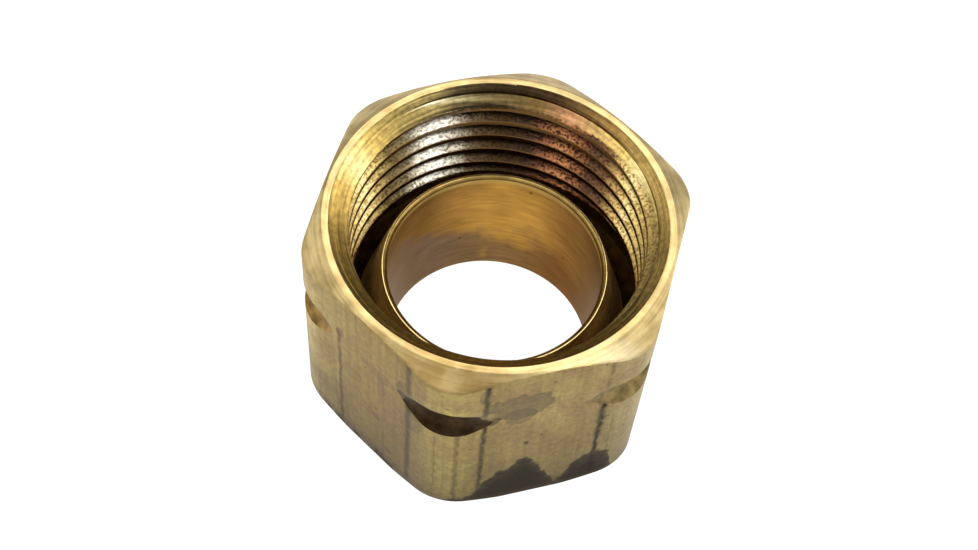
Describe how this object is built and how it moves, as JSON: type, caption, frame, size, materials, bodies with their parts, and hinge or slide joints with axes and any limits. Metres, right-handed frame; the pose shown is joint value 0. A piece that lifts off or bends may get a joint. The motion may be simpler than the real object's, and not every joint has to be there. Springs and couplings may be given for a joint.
{
  "type": "compression nut with sleeve",
  "caption": "Short brass hexagon nut with an internal thread, a rounded ring groove across its corners, and a loose tapered sleeve that seats inside round the tube.",
  "frame": {"origin": "centre of the nut's bottom face, the end that the tube enters", "axes": "+Z along the bore towards the threaded mouth; the hexagon's flats face +X, -X and every 60 degrees between"},
  "size_m": [0.0206, 0.0228, 0.015],
  "materials": {
    "hex_nut": "drawn and turned brass bar, dulled on the flats, bright on the mouth ring",
    "sleeve": "turned brass, bright lip, copper-brown bore"
  },
  "bodies": {
    "nut": {"hex_nut": "hex_nut"},
    "sleeve": {"sleeve": "sleeve"}
  },
  "joints": [
    {"name": "sleeve_lift", "type": "slide", "parent": "nut", "child": "sleeve", "axis": [0, 0, 1], "range_m": [0, 0.0152]}
  ]
}
